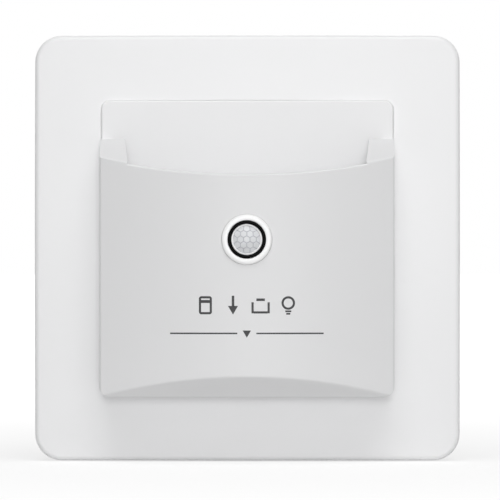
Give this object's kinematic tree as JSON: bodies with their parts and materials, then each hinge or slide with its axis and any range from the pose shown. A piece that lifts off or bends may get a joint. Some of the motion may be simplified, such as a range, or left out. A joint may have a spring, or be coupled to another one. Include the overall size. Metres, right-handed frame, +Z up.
{
  "type": "key card switch",
  "caption": "Hotel key card switch for a square wall box: white surround, bulged card pocket with a finger scoop, presence sensor window and a rear housing with screw terminals.",
  "frame": {"origin": "middle of the two fixing slots, on the wall plane at the yoke's rear face", "axes": "+Z up, +Y into the wall, +X to the right as seen from the room; the front faces -Y"},
  "size_m": [0.086, 0.0472, 0.086],
  "materials": {
    "frame_white": "satin gloss white polycarbonate",
    "zinc_steel": "zinc plated steel",
    "module_white": "fine satin white polycarbonate",
    "bezel_white": "gloss white",
    "ring_black": "gloss black",
    "lens_milky": "milky polyethylene",
    "board_green": "solder mask on glass fibre board",
    "can_steel": "nickel plated can",
    "filter_dark": "dark infrared filter",
    "connector_cream": "moulded nylon",
    "ribbon_white": "flat cable film",
    "paddle_white": "moulded acetal",
    "switch_black": "moulded",
    "plunger_red": "moulded",
    "relay_blue": "moulded",
    "film_red": "epoxy dipped",
    "sleeve_black": "shrink sleeve",
    "varistor_blue": "epoxy dipped",
    "resistor_grey": "cement coated",
    "chip_black": "moulded epoxy",
    "housing_grey": "flame retardant moulded plastic",
    "terminal_grey": "moulded nylon",
    "contact_brass": "bare brass strip",
    "screw_steel": "zinc plated"
  },
  "bodies": {
    "module": {"mounting_yoke": "zinc_steel", "module_base": "module_white", "pocket_cover": "module_white", "card_guide": "module_white", "guide_screws": "screw_steel", "cover_screws": "screw_steel", "lens_bezel": "bezel_white", "lens_ring": "ring_black", "fresnel_lens": "lens_milky", "sensor_board": "board_green", "pir_can": "can_steel", "pir_window": "filter_dark", "sensor_connector": "connector_cream", "sensor_ribbon": "ribbon_white", "main_connector": "connector_cream", "paddle_pin": "screw_steel", "microswitch_case": "switch_black", "main_board": "board_green", "relay_case": "relay_blue", "film_capacitor": "film_red", "electrolytic_capacitor": "sleeve_black", "varistor": "varistor_blue", "fuse_resistor": "resistor_grey", "bridge_rectifier": "chip_black", "controller_chip": "chip_black", "rear_housing": "housing_grey", "housing_screws": "screw_steel", "terminal_housing": "terminal_grey", "terminal_contacts": "contact_brass"},
    "surround": {"surround_frame": "frame_white"},
    "paddle": {"card_paddle": "paddle_white"},
    "plunger": {"microswitch_plunger": "plunger_red"},
    "screw_1": {"terminal_screw_1": "screw_steel"},
    "screw_2": {"terminal_screw_2": "screw_steel"},
    "screw_3": {"terminal_screw_3": "screw_steel"},
    "screw_4": {"terminal_screw_4": "screw_steel"},
    "cage_1": {"clamp_cage_1": "zinc_steel"},
    "cage_2": {"clamp_cage_2": "zinc_steel"},
    "cage_3": {"clamp_cage_3": "zinc_steel"},
    "cage_4": {"clamp_cage_4": "zinc_steel"}
  },
  "joints": [
    {"name": "surround_pull", "type": "slide", "parent": "module", "child": "surround", "axis": [0, -1, 0], "range_m": [0, 0.012]},
    {"name": "card_paddle_push", "type": "hinge", "parent": "module", "child": "paddle", "pos_m": [-0.009, -0.0042, -0.008], "axis": [1, 0, 0], "range_deg": [0, 10]},
    {"name": "microswitch_press", "type": "slide", "parent": "module", "child": "plunger", "axis": [0, 1, 0], "range_m": [0, 0.00095], "stiffness_N_per_m": 660},
    {"name": "terminal_screw_1_turn", "type": "hinge", "parent": "module", "child": "screw_1", "pos_m": [-0.01125, 0.0254, -0.02185], "axis": [0, -1, 0], "range_deg": [0, 2160]},
    {"name": "clamp_1_rise", "type": "slide", "parent": "module", "child": "cage_1", "axis": [0, 1, 0], "range_m": [0, 0.003]},
    {"name": "terminal_screw_2_turn", "type": "hinge", "parent": "module", "child": "screw_2", "pos_m": [-0.00375, 0.0254, -0.02185], "axis": [0, -1, 0], "range_deg": [0, 2160]},
    {"name": "clamp_2_rise", "type": "slide", "parent": "module", "child": "cage_2", "axis": [0, 1, 0], "range_m": [0, 0.003]},
    {"name": "terminal_screw_3_turn", "type": "hinge", "parent": "module", "child": "screw_3", "pos_m": [0.00375, 0.0254, -0.02185], "axis": [0, -1, 0], "range_deg": [0, 2160]},
    {"name": "clamp_3_rise", "type": "slide", "parent": "module", "child": "cage_3", "axis": [0, 1, 0], "range_m": [0, 0.003]},
    {"name": "terminal_screw_4_turn", "type": "hinge", "parent": "module", "child": "screw_4", "pos_m": [0.01125, 0.0254, -0.02185], "axis": [0, -1, 0], "range_deg": [0, 2160]},
    {"name": "clamp_4_rise", "type": "slide", "parent": "module", "child": "cage_4", "axis": [0, 1, 0], "range_m": [0, 0.003]}
  ],
  "couplings": [
    {"joint": "card_paddle_push", "follows": "microswitch_press", "rad_per_m": 181.82},
    {"joint": "terminal_screw_1_turn", "follows": "clamp_1_rise", "rad_per_m": 12566},
    {"joint": "terminal_screw_2_turn", "follows": "clamp_2_rise", "rad_per_m": 12566},
    {"joint": "terminal_screw_3_turn", "follows": "clamp_3_rise", "rad_per_m": 12566},
    {"joint": "terminal_screw_4_turn", "follows": "clamp_4_rise", "rad_per_m": 12566}
  ]
}
